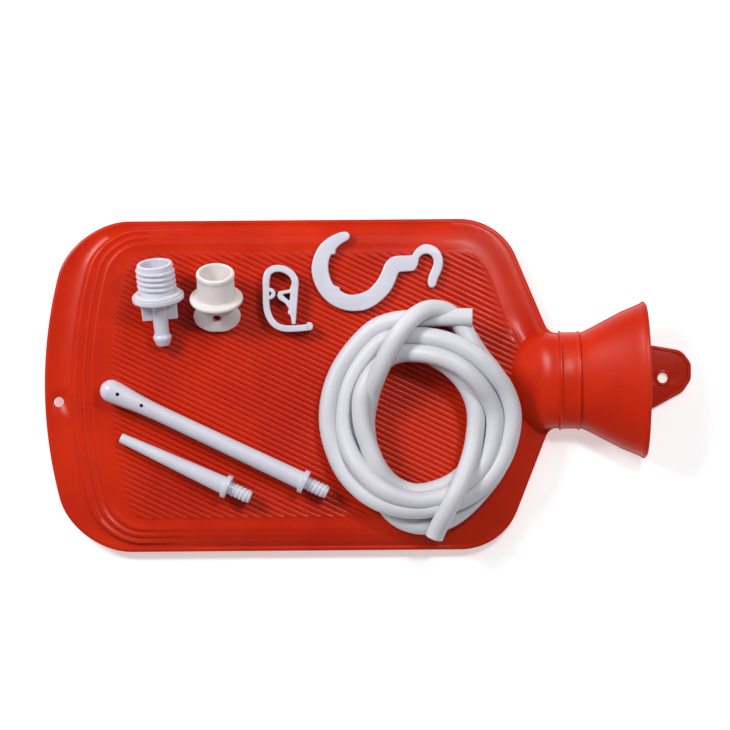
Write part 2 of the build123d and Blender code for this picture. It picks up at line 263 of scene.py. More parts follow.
def tube_shell(line, outer, inner, steps):
    """Closed wall of a tube along a line (mm), bored right through, ends cut square."""
    tangents = []
    for number, point in enumerate(line):
        before = line[max(number - 1, 0)]
        after = line[min(number + 1, len(line) - 1)]
        tangents.append((after - before).normalized())
    normal = tangents[0].orthogonal().normalized()
    rings = []
    for point, tangent in zip(line, tangents):
        normal = (normal - tangent * normal.dot(tangent)).normalized()
        rings.append((point, tangent, normal, tangent.cross(normal)))
    edge = 0.6
    start, finish_end = rings[0], rings[-1]
    stations = [(start, outer - edge, 0.0), (start, outer - 0.17 * edge, 0.35 * edge)]
    stations += [(ring, outer, 0.0) for ring in rings[1:-1]]
    stations += [(finish_end, outer - 0.17 * edge, -0.35 * edge), (finish_end, outer - edge, 0.0)]
    stations += [(finish_end, inner + 0.3, 0.0), (finish_end, inner, -0.4)]
    stations += [(ring, inner, 0.0) for ring in reversed(rings[1:-1])]
    stations += [(start, inner, 0.4), (start, inner + 0.3, 0.0)]
    points = []
    for (centre, tangent, across, up), radius, shift in stations:
        for step in range(steps):
            turn = 2 * pi * step / steps
            place = centre + tangent * shift + radius * (across * cos(turn) + up * sin(turn))
            points.append(tuple(place))
    faces = []
    count = len(stations)
    for number in range(count):
        following = (number + 1) % count
        for step in range(steps):
            next_step = (step + 1) % steps
            faces.append(
                (
                    number * steps + step,
                    number * steps + next_step,
                    following * steps + next_step,
                    following * steps + step,
                )
            )
    return points, faces


tube = make_piece(
    "soft_tube",
    [tube_shell([1000.0 * point for point in tube_line], tube_radius, tube_bore_radius, 22)],
    tube_finish,
)
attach(tube, "tube")
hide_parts("tube_coil")


# ---- Front and back panels of the bag ----
# Two sheets of red rubber, moulded with a stepped border and a ribbed middle.
# They are vulcanised together along the flat rim, which has a hole to hang the bag by.

red_rubber = moulded_finish(
    "red_rubber", (0.61, 0.023, 0.002), (0.49, 0.014, 0.0015), 38.0, 0.27, 0.9, 0.12
)
rubber_nodes = red_rubber.node_tree.nodes
rubber_links = red_rubber.node_tree.links
rubber_shader = rubber_nodes["Principled BSDF"]
rubber_shader.inputs["Specular IOR Level"].default_value = 0.22
rubber_tone = next(node for node in rubber_nodes if node.type == "VALTORGB")
# Painted shade: the rubber colour is multiplied darker in the rib grooves, where shade falls, by the
# stored groove depth.
groove_depth = rubber_nodes.new("ShaderNodeAttribute")
groove_depth.attribute_name = "groove"
groove_painted_shade = rubber_nodes.new("ShaderNodeMixRGB")
groove_painted_shade.blend_type = "MULTIPLY"
groove_painted_shade.inputs["Color2"].default_value = (0.66, 0.45, 0.45, 1.0)
rubber_links.new(groove_depth.outputs["Fac"], groove_painted_shade.inputs["Fac"])
rubber_links.new(rubber_tone.outputs["Color"], groove_painted_shade.inputs["Color1"])
rubber_links.new(groove_painted_shade.outputs["Color"], rubber_shader.inputs["Base Color"])

seam_level = 7.0
panel_wall = 2.0
bag_half_width = 100.0
foot_x = -187.8
foot_bulge = 7.2
bulge_half_width = 61.8
foot_corner_radius = 33.0
shoulder_x = 81.0
shoulder_radius = 37.0
neck_root_x = 110.0
neck_root_half_width = 28.5
neck_y = 1.8
neck_root_radius = 14.0
outline_end_x = 121.0
rib_pitch = 3.2
rib_angle = -26.0
rib_height = 0.55

# border steps: distance in from the foot, in from the sides, height of the front face
border_steps = (
    (0.0, 0.0, 8.0),
    (0.5, 0.5, 8.5),
    (2.0, 1.8, 8.7),
    (3.0, 2.8, 8.3),
    (15.4, 4.6, 8.2),
    (16.8, 5.2, 9.2),
    (18.2, 5.8, 11.2),
    (19.4, 6.4, 11.6),
    (20.8, 7.4, 10.9),
    (22.4, 8.6, 10.7),
    (23.8, 9.6, 12.6),
    (24.9, 10.4, 13.2),
    (26.2, 11.4, 12.5),
    (27.4, 12.4, 12.3),
    (28.6, 13.2, 13.6),
    (29.8, 14.2, 13.9),
    (31.4, 15.4, 13.3),
    (35.0, 17.3, 12.9),
    (39.0, 19.0, 13.1),
)
hang_hole = (-186.5, -9.0)
hang_hole_radius = 3.1

# heights of the ribbed field and of the flat rim, and the swell between them
field_top = 13.1
rim_top = 8.4
swell_start = 2.8
swell_reach = 13.0
swell_drop = 4.8

# where the sheet rises towards the neck, and how fast it dies out sideways
skirt_start = 84.0
skirt_reach = 22.0
skirt_half_width = 26.0
skirt_fade = 9.0

# direction square to a slanted shoulder, and where along it the sheet thins
shoulder_heading = (0.924, 0.383)
fall_start = 72.0
fall_reach = 38.0


def rounded_corners(corners, spacing):
    """Closed outline through corners given as (x, y, radius), points about a spacing apart."""
    outline = []
    count = len(corners)
    for number, (x, y, radius) in enumerate(corners):
        here = Vector((x, y))
        back = Vector(corners[number - 1][:2]) - here
        ahead = Vector(corners[(number + 1) % count][:2]) - here
        half_angle = back.angle(ahead) / 2
        reach = min(radius / tan(half_angle), 0.48 * back.length, 0.48 * ahead.length)
        if radius == 0.0 or reach < 0.02:
            outline.append(here)
            continue
        radius = reach * tan(half_angle)
        start = here + back.normalized() * reach
        finish_point = here + ahead.normalized() * reach
        centre = here + (back.normalized() + ahead.normalized()).normalized() * radius / sin(
            half_angle
        )
        steps = max(3, ceil(radius * (pi - 2 * half_angle) / spacing))
        sweep = (start - centre).angle_signed(finish_point - centre)
        for step in range(steps + 1):
            turn = -sweep * step / steps
            arm = start - centre
            outline.append(
                centre
                + Vector(
                    (
                        arm.x * cos(turn) - arm.y * sin(turn),
                        arm.x * sin(turn) + arm.y * cos(turn),
                    )
                )
            )
    filled = []
    for number, point in enumerate(outline):
        following = outline[(number + 1) % len(outline)]
        gap = (following - point).length
        if gap < 1e-4:
            continue
        pieces = max(1, round(gap / spacing))
        filled += [point.lerp(following, part / pieces) for part in range(pieces)]
    return filled


def border_line(foot_in, side_in):
    """One moulding line of the panel, moved in from its edge."""
    half_width = bag_half_width - side_in
    left = foot_x + foot_in
    right = shoulder_x - 0.55 * side_in
    root = neck_root_x - 0.95 * side_in
    root_half = neck_root_half_width - 0.5 * side_in
    end = outline_end_x - 0.97 * side_in
    corners = [
        (left, -half_width, foot_corner_radius - 0.55 * foot_in),
        (right, -half_width, shoulder_radius - 0.6 * side_in),
        (root, neck_y - root_half, neck_root_radius),
        (end, neck_y - root_half, 0.0),
        (end, neck_y + root_half, 0.0),
        (root, neck_y + root_half, neck_root_radius),
        (right, half_width, shoulder_radius - 0.6 * side_in),
        (left, half_width, foot_corner_radius - 0.55 * foot_in),
    ]
    line = rounded_corners(corners, 3.0)
    for point in line:
        share = min(max((-80.0 - point.x) / 60.0, 0.0), 1.0)
        point.x += share * foot_bulge * ((point.y / bulge_half_width) ** 2 - 1)
    return line


def inside(point, loop):
    """Whether a point lies inside a closed loop."""
    crossings = False
    for number, first in enumerate(loop):
        second = loop[number - 1]
        if (first.y > point.y) != (second.y > point.y):
            cross_x = (second.x - first.x) * (point.y - first.y) / (second.y - first.y) + first.x
            if point.x < cross_x:
                crossings = not crossings
    return crossings


def neck_skirt(point, height, sweep):
    """Panel height near the neck, where the sheet sweeps up (mm) to meet it."""
    onset = min(max((point.x - skirt_start) / skirt_reach, 0.0), 1.0)
    onset = onset * onset * (3 - 2 * onset)
    clear = max(0.0, abs(point.y - neck_y) - skirt_half_width)
    inland = min(max((height - 8.8) / 4.0, 0.0), 1.0)
    return height + sweep * onset * inland * 2.718 ** (-((clear / skirt_fade) ** 2))


def shoulder_fall(point):
    """Share of the way down to the rim, where the panel thins towards a shoulder."""
    outward = shoulder_heading[0] * point.x + shoulder_heading[1] * abs(point.y - neck_y)
    return min(max((outward - fall_start) / fall_reach, 0.0), 1.0) ** 2


def panel_sheet(sweep):
    """Points, faces and ribbed-area strength of one panel, face up, without its ribs."""
    flat = []
    heights = []
    strengths = []
    edges = []

    def add_loop(line, height, plain_height):
        """Add a closed line, stepped at the foot and plain towards the neck."""
        first = len(flat)
        flat.extend(line)
        for point in line:
            least = 0.15 * min(max((60.0 - point.x) / 50.0, 0.0), 1.0)
            share = min(max((-95.0 - point.x) / 55.0, least), 1.0)
            top = plain_height + (height - plain_height) * share
            top -= max(0.0, top - rim_top) * shoulder_fall(point)
            heights.append(neck_skirt(point, top, sweep))
        strengths.extend([0.0] * len(line))
        edges.extend((first + n, first + (n + 1) % len(line)) for n in range(len(line)))

    lines = [border_line(foot_in, side_in) for foot_in, side_in, _ in border_steps]
    for line, (_, side_in, height) in zip(lines, border_steps):
        rise = min(max((side_in - swell_start) / swell_reach, 0.0), 1.0)
        crown = field_top - swell_drop * (1 - rise) ** 2
        add_loop(line, height, height if side_in < 2.9 else crown)
    hole = []
    for radius, height in ((hang_hole_radius, 7.9), (hang_hole_radius + 0.5, 8.35)):
        circle = []
        for step in range(28):
            turn = 2 * pi * step / 28
            x = hang_hole[0] + radius * cos(turn)
            circle.append(Vector((x, hang_hole[1] + radius * sin(turn))))
        add_loop(circle, height, height)
        hole = hole or circle
    field = lines[-1]
    along = Vector((cos(radians(rib_angle)), sin(radians(rib_angle))))
    across = Vector((-along.y, along.x))
    row_gap = rib_pitch / 6
    reach = 240.0
    point_gap = 5.0
    for row in range(int(-reach / row_gap), int(reach / row_gap)):
        base = across * (row * row_gap)
        crossings = []
        for number, first in enumerate(field):
            second = field[number - 1]
            side_a = (first - base).dot(across)
            side_b = (second - base).dot(across)
            if (side_a > 0) != (side_b > 0):
                where = first.lerp(second, side_a / (side_a - side_b))
                crossings.append((where - base).dot(along))
        if len(crossings) < 2:
            continue
        crossings.sort()
        low = crossings[0] + 0.5
        high = crossings[1] - 0.5
        run = high - low - 7.0
        if run < 1.0:
            continue
        pieces = max(1, round(run / point_gap))
        stops = [low, low + 1.7] + [low + 3.5 + run * part / pieces for part in range(pieces + 1)]
        stops += [high - 1.7, high]
        for number, stop in enumerate(stops):
            point = base + along * stop
            if number:
                edges.append((len(flat) - 1, len(flat)))
            flat.append(point)
            sag = 0.12 * noise.noise(Vector((point.x / 55.0, point.y / 55.0, 0.0)))
            top = field_top + sag
            top -= (top - rim_top) * shoulder_fall(point)
            heights.append(neck_skirt(point, top, sweep))
            from_end = min(number, len(stops) - 1 - number)
            strengths.append((0.0, 0.35, 0.8)[from_end] if from_end < 3 else 1.0)
    solved = geometry.delaunay_2d_cdt(flat, edges, [], 0, 1e-5)
    places, triangles, sources = solved[0], solved[2], solved[3]
    outline = lines[0]
    kept = []
    for corners in triangles:
        centre = (places[corners[0]] + places[corners[1]] + places[corners[2]]) / 3
        if centre.x < -150 or centre.x > 60 or abs(centre.y) > 90:
            if not inside(centre, outline) or inside(centre, hole):
                continue
        kept.append(tuple(corners))
    tops = []
    ribbed = []
    for place, source in zip(places, sources):
        number = source[0] if source else 0
        tops.append((place.x, place.y, heights[number]))
        ribbed.append(strengths[number])
    count = len(tops)
    unders = [(x, y, max(seam_level, z - panel_wall)) for x, y, z in tops]
    used = {}
    for corners in kept:
        for a, b in zip(corners, corners[1:] + corners[:1]):
            used[(a, b)] = True
    walls = [(a, b, b + count, a + count) for a, b in used if (b, a) not in used]
    walls = [tuple(reversed(wall)) for wall in walls]
    under_faces = [tuple(count + corner for corner in reversed(corners)) for corners in kept]
    return tops + unders, kept + under_faces + walls, ribbed + [0.0] * count


def rib_tree():
    """Geometry Nodes: raises parallel ribs where the ribbed strength says so."""
    tree = bpy.data.node_groups.new("moulded_ribs", "GeometryNodeTree")
    face = tree.interface
    face.new_socket("Geometry", in_out="INPUT", socket_type="NodeSocketGeometry")
    for name in ("Pitch", "Angle", "Height"):
        face.new_socket(name, in_out="INPUT", socket_type="NodeSocketFloat")
    face.new_socket("Finish", in_out="INPUT", socket_type="NodeSocketMaterial")
    face.new_socket("Geometry", in_out="OUTPUT", socket_type="NodeSocketGeometry")
    nodes = tree.nodes
    links = tree.links
    given = nodes.new("NodeGroupInput")
    result = nodes.new("NodeGroupOutput")

    def reckon(operation, first, second=None):
        """One sum on node outputs or plain numbers."""
        node = nodes.new("ShaderNodeMath")
        node.operation = operation
        for socket, value in zip(node.inputs, (first, second)):
            if value is None:
                continue
            if isinstance(value, (int, float)):
                socket.default_value = value
            else:
                links.new(value, socket)
        return node.outputs[0]

    place = nodes.new("GeometryNodeInputPosition")
    parts = nodes.new("ShaderNodeSeparateXYZ")
    links.new(place.outputs["Position"], parts.inputs[0])
    heading = reckon("RADIANS", given.outputs["Angle"])
    sideways = reckon("MULTIPLY", parts.outputs["X"], reckon("SINE", heading))
    upwards = reckon("MULTIPLY", parts.outputs["Y"], reckon("COSINE", heading))
    distance = reckon("SUBTRACT", upwards, sideways)
    phase = reckon("FRACT", reckon("ADD", reckon("DIVIDE", distance, given.outputs["Pitch"]), 500.0))
    offset = reckon("ABSOLUTE", reckon("SUBTRACT", reckon("MULTIPLY", phase, 2.0), 1.0))
    groove = reckon("POWER", offset, 3.2)
    strength = nodes.new("GeometryNodeInputNamedAttribute")
    strength.data_type = "FLOAT"
    strength.inputs["Name"].default_value = "ribbed"
    crest = reckon("MULTIPLY", reckon("SUBTRACT", 1.0, groove), strength.outputs["Attribute"])
    lift = nodes.new("ShaderNodeCombineXYZ")
    links.new(reckon("MULTIPLY", crest, given.outputs["Height"]), lift.inputs["Z"])
    # Stores the groove depth that the rubber paint uses to paint shade into the rib grooves.
    store = nodes.new("GeometryNodeStoreNamedAttribute")
    store.data_type = "FLOAT"
    store.domain = "POINT"
    store.inputs["Name"].default_value = "groove"
    links.new(given.outputs["Geometry"], store.inputs["Geometry"])
    links.new(reckon("MULTIPLY", groove, strength.outputs["Attribute"]), store.inputs["Value"])
    move = nodes.new("GeometryNodeSetPosition")
    links.new(store.outputs["Geometry"], move.inputs["Geometry"])
    links.new(lift.outputs["Vector"], move.inputs["Offset"])
    realise = nodes.new("GeometryNodeRealizeInstances")
    paint = nodes.new("GeometryNodeSetMaterial")
    links.new(move.outputs["Geometry"], realise.inputs["Geometry"])
    links.new(realise.outputs["Geometry"], paint.inputs["Geometry"])
    links.new(given.outputs["Finish"], paint.inputs["Material"])
    links.new(paint.outputs["Geometry"], result.inputs["Geometry"])
    return tree


def grown(maker, tree, values):
    """Plain mesh from an object with a node tree on it, its inputs set by name."""
    modifier = maker.modifiers.new("making", "NODES")
    modifier.node_group = tree
    for socket in tree.interface.items_tree:
        if socket.item_type == "SOCKET" and socket.in_out == "INPUT" and socket.name in values:
            modifier[socket.identifier] = values[socket.name]
    maker.update_tag()
    bpy.context.view_layer.update()
    ready = maker.evaluated_get(bpy.context.evaluated_depsgraph_get())
    mesh = bpy.data.meshes.new_from_object(ready)
    maker.modifiers.clear()
    return mesh


moulded_ribs = rib_tree()
for name, node, side, sweep in (
    ("front_sheet", "front_panel", 1, 6.5),
    ("back_sheet", "back_panel", -1, 0.0),
):
    sheet_points, sheet_faces, sheet_strengths = panel_sheet(sweep)
    blank = make_piece("panel_blank", [(sheet_points, sheet_faces)], red_rubber)
    strength_layer = blank.data.attributes.new("ribbed", "FLOAT", "POINT")
    strength_layer.data.foreach_set("value", sheet_strengths)
    mesh = grown(
        blank,
        moulded_ribs,
        {
            "Pitch": rib_pitch / 1000.0,
            "Angle": rib_angle,
            "Height": rib_height / 1000.0,
            "Finish": red_rubber,
        },
    )
    bpy.data.objects.remove(blank)
    mesh.name = name
    if side < 0:
        turned_over = Matrix.Diagonal((1, 1, -1, 1))
        mesh.transform(Matrix.Translation((0, 0, 2 * seam_level / 1000.0)) @ turned_over)
        mesh.flip_normals()
    mesh.shade_smooth()
    mesh.set_sharp_from_angle(angle=radians(50))
    sheet = bpy.data.objects.new(name, mesh)
    scene.collection.objects.link(sheet)
    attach(sheet, "bag")
    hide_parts(node)


# ---- Neck and filling funnel ----
# One thick rubber moulding: it grows out of the bag, narrows to the neck and
# flares to an oval mouth with a rolled lip. A thin parting fin runs down each side.

# place along the bag, half width, lowest and highest point (mm)
outer_sections = (
    (85.5, 15.0, 4.0, 12.4),
    (88.0, 19.2, 2.0, 14.6),
    (91.0, 22.6, 1.0, 17.2),
    (94.5, 25.0, 0.5, 20.2),
    (98.5, 26.7, 0.3, 23.4),
    (103.0, 27.8, 0.4, 27.6),
    (108.0, 28.2, 0.8, 31.2),
    (113.5, 27.8, 1.4, 32.2),
    (118.0, 27.4, 1.6, 32.4),
    (125.0, 27.4, 1.6, 32.4),
    (129.0, 28.2, 1.5, 32.8),
    (133.0, 30.0, 1.3, 33.7),
    (139.0, 33.2, 1.0, 35.3),
    (146.0, 36.9, 0.7, 37.3),
    (153.0, 40.4, 0.5, 39.2),
    (160.0, 43.1, 0.3, 41.1),
    (164.5, 44.9, 0.2, 42.1),
    (165.6, 45.8, 0.1, 42.6),
    (167.0, 46.3, 0.0, 42.9),
    (168.3, 46.0, 0.1, 42.6),
    (168.8, 45.1, 0.6, 42.0),
)
inner_sections = (
    (168.5, 44.2, 1.6, 40.9),
    (167.0, 43.4, 2.3, 40.0),
    (160.0, 40.6, 2.8, 38.4),
    (153.0, 37.9, 3.0, 36.7),
    (146.0, 34.4, 3.2, 34.8),
    (139.0, 30.7, 3.5, 32.8),
    (133.0, 27.5, 3.8, 31.2),
    (128.2, 25.0, 4.1, 29.9),
    (127.9, 22.0, 6.0, 28.0),
    (127.9, 14.6, 11.0, 23.0),
)


def neck_ring(x, half_width, low, high, fin, steps=112):
    """Points round one oval section, with the parting fin at both sides."""
    middle = (low + high) / 2
    half_height = (high - low) / 2
    ring = []
    for step in range(steps):
        turn = 2 * pi * (step + 0.25 * sin(4 * pi * step / steps) * -2.0) / steps
        side = cos(turn)
        rise = sin(turn)
        y = half_width * side
        z = half_height * rise
        swell = fin * max(0.0, 1.0 - abs(z) / 1.1)
        y += swell if side > 0 else -swell
        curve = -0.4 - 0.9 * (y / 47.0) ** 2
        flare = min(max((x - 146.0) / 20.0, 0.0), 1.0)
        ring.append((x + curve * flare, neck_y + y, middle + z))
    return ring


def skin(rings, first_cap=True, last_cap=True):
    """Closed shell through rings of equal length."""
    steps = len(rings[0])
    points = [point for ring in rings for point in ring]
    faces = []
    for number in range(len(rings) - 1):
        for step in range(steps):
            following = (step + 1) % steps
            faces.append(
                (
                    number * steps + step,
                    number * steps + following,
                    (number + 1) * steps + following,
                    (number + 1) * steps + step,
                )
            )
    if first_cap:
        faces.append(tuple(reversed(range(steps))))
    if last_cap:
        faces.append(tuple(range(len(points) - steps, len(points))))
    return points, faces


fin_height = 0.9
rings = [
    neck_ring(*section, fin_height if 88 < section[0] < 168 else 0.0)
    for section in outer_sections
]
rings += [neck_ring(*section, 0.0) for section in inner_sections]
neck = make_piece("neck_and_funnel", [skin(rings)], red_rubber)
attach(neck, "bag")
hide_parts("neck_funnel")


# ---- Neck band ----
# A strip of the same rubber wrapped round the neck, with a raised bead at each
# edge. It holds the plastic socket inside.

band_profile = (
    (114.6, -0.4),
    (114.8, 1.1),
    (115.3, 1.7),
    (116.0, 1.7),
    (116.6, 1.1),
    (117.4, 0.9),
    (125.2, 0.9),
    (126.0, 1.1),
    (126.6, 1.7),
    (127.3, 1.7),
    (127.8, 1.1),
    (128.0, -0.4),
)
rings = [neck_ring(x, 27.4 + out, 1.6 - out, 32.4 + out, 0.7) for x, out in band_profile]
band = make_piece("neck_wrap", [skin(rings)], red_rubber)
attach(band, "bag")
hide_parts("neck_band")


# ---- Hanging tab ----
# A flat rubber ear moulded on the rear lip of the mouth, with a bead round its
# edge and a collared hole for the hook.


def plate(outline, holes, low, high, edge):
    """Flat part between two heights with rounded edges; outline and holes are loops of 2-D points."""
    loops = [[Vector(point[:2]) for point in loop] for loop in [outline] + list(holes)]
    insets = []
    for number, loop in enumerate(loops):
        area = sum(a.cross(b) for a, b in zip(loop, loop[1:] + loop[:1]))
        if (area < 0) == (number == 0):
            loop.reverse()
        normals = []
        for corner, here in enumerate(loop):
            back = (here - loop[corner - 1]).normalized()
            ahead = (loop[(corner + 1) % len(loop)] - here).normalized()
            mean = back + ahead
            mean = mean.normalized() if mean.length > 1e-6 else back
            inward = Vector((-mean.y, mean.x))
            stretch = 1.0 / max(0.5, inward.dot(Vector((-back.y, back.x))))
            normals.append(inward * stretch)
        insets.append(normals)
    levels = []
    for turn in (0, 30, 60, 90):
        levels.append((edge * (1 - sin(radians(turn))), low + edge * (1 - cos(radians(turn)))))
    levels += [(inset, high + low - height) for inset, height in reversed(levels)]
    points = []
    faces = []
    caps = {0: [], len(levels) - 1: []}
    for loop, normals in zip(loops, insets):
        steps = len(loop)
        for number, (inset, height) in enumerate(levels):
            first = len(points)
            for here, inward in zip(loop, normals):
                moved = here + inward * inset
                points.append((moved.x, moved.y, height))
            if number in caps:
                caps[number].append(range(first, first + steps))
            if number:
                for step in range(steps):
                    following = (step + 1) % steps
                    faces.append(
                        (
                            first - steps + step,
                            first - steps + following,
                            first + following,
                            first + step,
                        )
                    )
    for number, cap_loops in caps.items():
        order = [index for cap in cap_loops for index in cap]
        flat_loops = [[Vector((*points[index][:2], 0.0)) for index in cap] for cap in cap_loops]
        for corners in geometry.tessellate_polygon(flat_loops):
            face = tuple(order[corner] for corner in corners)
            faces.append(face if number else tuple(reversed(face)))
    return points, faces


def circle(x, y, radius, steps=32):
    """Closed loop of points round a circle."""
    turns = [2 * pi * step / steps for step in range(steps)]
    return [(x + radius * cos(turn), y + radius * sin(turn)) for turn in turns]


def offset_corners(corners, inset):
    """The same rounded corners moved inwards towards their middle."""
    middle_x = sum(corner[0] for corner in corners) / len(corners)
    middle_y = sum(corner[1] for corner in corners) / len(corners)
    moved = []
    for x, y, radius in corners:
        away = hypot(x - middle_x, y - middle_y)
        share = 1 - inset / away
        moved.append((middle_x + (x - middle_x) * share, middle_y + (y - middle_y) * share, radius))
    return moved


tab_corners = [
    (163.0, -21.5, 0.0),
    (170.8, -17.2, 6.0),
    (181.0, -11.6, 12.0),
    (191.5, -5.9, 8.0),
    (196.6, 1.6, 6.0),
    (196.8, 11.4, 7.0),
    (191.0, 19.4, 9.0),
    (171.0, 22.9, 8.0),
    (163.0, 25.0, 0.0),
]
tab_hole = (179.4, 2.8)
tab_outline = rounded_corners(tab_corners, 1.5)
tab_shells = [plate(tab_outline, [circle(*tab_hole, 3.1)], 0.2, 2.6, 0.5)]
bead_outer = rounded_corners(offset_corners(tab_corners, 0.3), 1.5)
bead_inner = rounded_corners(offset_corners(tab_corners, 2.6), 1.5)
tab_shells.append(plate(bead_outer, [bead_inner], 0.4, 3.3, 0.6))
tab_shells.append(plate(circle(*tab_hole, 5.2), [circle(*tab_hole, 3.1)], 0.1, 3.4, 0.7))
tab = make_piece("hanging_ear", tab_shells, red_rubber)
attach(tab, "bag")
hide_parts("hanging_tab")


# ---- Threaded neck socket ----
# A hard plastic bush moulded into the neck, with a coarse inside thread that
# the stoppers screw into.

socket_finish = moulded_finish(
    "socket_plastic", (0.62, 0.62, 0.60), (0.55, 0.55, 0.53), 12.0, 0.32, 0.7, 0.03
)


def lying_frame(x, y, z, heading, drop):
    """Matrix of a lying piece: its length runs along a heading, dropping below level."""
    along = radians(heading)
    down = radians(drop)
    forward = Vector((cos(down) * cos(along), cos(down) * sin(along), -sin(down)))
    upward = Vector((sin(down) * cos(along), sin(down) * sin(along), cos(down)))
    lateral = upward.cross(forward)
    placing = Matrix.Identity(4)
    for column, axis in enumerate((forward, lateral, upward, Vector((x, y, z)))):
        for row in range(3):
            placing[row][column] = axis[row]
    return placing


def eased(profile, radius):
    """A profile with its corners broken by a small round."""
    softened = [profile[0]]
    for before, here, after in zip(profile, profile[1:], profile[2:]):
        here = Vector(here)
        back = Vector(before) - here
        ahead = Vector(after) - here
        reach = min(radius, 0.4 * back.length, 0.4 * ahead.length)
        if reach < 0.02:
            softened.append(tuple(here))
            continue
        start = here + back.normalized() * reach
        end = here + ahead.normalized() * reach
        softened += [tuple(start), tuple((start + end) / 4 + here / 2), tuple(end)]
    softened.append(profile[-1])
    return softened


def turned(profile, steps=64):
    """Shell turned about the length from (along, radius) points; a zero radius is a pole."""
    points = []
    rows = []
    for along, radius in profile:
        if radius < 1e-6:
            rows.append([len(points)])
            points.append((along, 0.0, 0.0))
            continue
        rows.append(list(range(len(points), len(points) + steps)))
        for step in range(steps):
            turn = 2 * pi * step / steps
            points.append((along, radius * cos(turn), radius * sin(turn)))
    pairs = list(zip(rows, rows[1:]))
    if len(rows[0]) > 1 and len(rows[-1]) > 1:
        pairs.append((rows[-1], rows[0]))
    faces = []
    for first, second in pairs:
        for step in range(steps):
            following = (step + 1) % steps
            if len(first) == 1 and len(second) == 1:
                continue
            if len(first) == 1:
                faces.append((first[0], second[following], second[step]))
            elif len(second) == 1:
                faces.append((first[step], first[following], second[0]))
            else:
                faces.append((first[step], first[following], second[following], second[step]))
    return points, faces


def thread_tree():
    """Geometry Nodes: one screw-thread ridge wound round the length of a part."""
    tree = bpy.data.node_groups.new("screw_thread", "GeometryNodeTree")
    face = tree.interface
    face.new_socket("Geometry", in_out="INPUT", socket_type="NodeSocketGeometry")
    for name in ("Turns", "Pitch", "Radius", "Ridge height", "Ridge width"):
        face.new_socket(name, in_out="INPUT", socket_type="NodeSocketFloat")
    face.new_socket("Finish", in_out="INPUT", socket_type="NodeSocketMaterial")
    face.new_socket("Geometry", in_out="OUTPUT", socket_type="NodeSocketGeometry")
    nodes = tree.nodes
    links = tree.links
    given = nodes.new("NodeGroupInput")
    result = nodes.new("NodeGroupOutput")
    spiral = nodes.new("GeometryNodeCurveSpiral")
    spiral.inputs["Resolution"].default_value = 40
    links.new(given.outputs["Turns"], spiral.inputs["Rotations"])
    links.new(given.outputs["Radius"], spiral.inputs["Start Radius"])
    links.new(given.outputs["Radius"], spiral.inputs["End Radius"])
    rise = nodes.new("ShaderNodeMath")
    rise.operation = "MULTIPLY"
    links.new(given.outputs["Turns"], rise.inputs[0])
    links.new(given.outputs["Pitch"], rise.inputs[1])
    links.new(rise.outputs[0], spiral.inputs["Height"])
    upright = nodes.new("GeometryNodeSetCurveNormal")
    upright.mode = "Z_UP"
    links.new(spiral.outputs["Curve"], upright.inputs["Curve"])
    section = nodes.new("GeometryNodeCurvePrimitiveCircle")
    section.inputs["Resolution"].default_value = 8
    section.inputs["Radius"].default_value = 1.0
    size = nodes.new("ShaderNodeCombineXYZ")
    links.new(given.outputs["Ridge height"], size.inputs["X"])
    links.new(given.outputs["Ridge width"], size.inputs["Y"])
    size.inputs["Z"].default_value = 1.0
    shaped = nodes.new("GeometryNodeTransform")
    links.new(section.outputs["Curve"], shaped.inputs["Geometry"])
    links.new(size.outputs["Vector"], shaped.inputs["Scale"])
    part = nodes.new("GeometryNodeSplineParameter")
    taper = nodes.new("ShaderNodeFloatCurve")
    ends = taper.mapping.curves[0].points
    ends[0].location = (0.0, 0.15)
    ends[1].location = (1.0, 0.15)
    ends.new(0.06, 1.0)
    ends.new(0.94, 1.0)
    taper.mapping.update()
    links.new(part.outputs["Factor"], taper.inputs["Value"])
    sweep = nodes.new("GeometryNodeCurveToMesh")
    sweep.inputs["Fill Caps"].default_value = True
    links.new(upright.outputs["Curve"], sweep.inputs["Curve"])
    links.new(shaped.outputs["Geometry"], sweep.inputs["Profile Curve"])
    links.new(taper.outputs["Value"], sweep.inputs["Scale"])
    realise = nodes.new("GeometryNodeRealizeInstances")
    paint = nodes.new("GeometryNodeSetMaterial")
    links.new(sweep.outputs["Mesh"], realise.inputs["Geometry"])
    links.new(realise.outputs["Geometry"], paint.inputs["Geometry"])
    links.new(given.outputs["Finish"], paint.inputs["Material"])
    links.new(paint.outputs["Geometry"], result.inputs["Geometry"])
    return tree


screw_thread = thread_tree()


def thread_shell(start, turns, pitch, radius, ridge_height, ridge_width, finish):
    """Ridge of a screw thread along a part's length, as points (mm) and faces."""
    former = bpy.data.objects.new("thread_former", bpy.data.meshes.new("thread_former"))
    scene.collection.objects.link(former)
    mesh = grown(
        former,
        screw_thread,
        {
            "Turns": float(turns),
            "Pitch": pitch,
            "Radius": radius,
            "Ridge height": ridge_height,
            "Ridge width": ridge_width,
            "Finish": finish,
        },
    )
    bpy.data.objects.remove(former)
    points = [(start + vertex.co.z, vertex.co.x, vertex.co.y) for vertex in mesh.vertices]
    faces = [tuple(reversed(polygon.vertices)) for polygon in mesh.polygons]
    bpy.data.meshes.remove(mesh)
    return points, faces


def placed(shell, placing):
    """The same shell moved to where its piece lies."""
    points, faces = shell
    return [tuple(placing @ Vector(point)) for point in points], faces


socket_frame = lying_frame(110.0, neck_y, 17.0, 0.0, 0.0)
socket_profile = [(2.5, 12.6), (2.5, 13.6), (18.6, 14.0), (19.4, 13.4), (19.4, 12.6), (18.6, 12.4)]
socket_shells = [placed(turned(eased(socket_profile, 0.4)), socket_frame)]
socket_thread = thread_shell(2.0, 4.6, 3.2, 12.5, 0.7, 0.9, socket_finish)
socket_shells.append(placed(socket_thread, socket_frame))
socket = make_piece("threaded_bush", socket_shells, socket_finish)
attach(socket, "bag")
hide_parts("neck_socket")


# ---- Tube stopper and its washer ----
# A white moulded stopper: a hollow screw plug, a flange with two finger wings and a
# barbed spout for the tube. A soft washer sits under the flange.

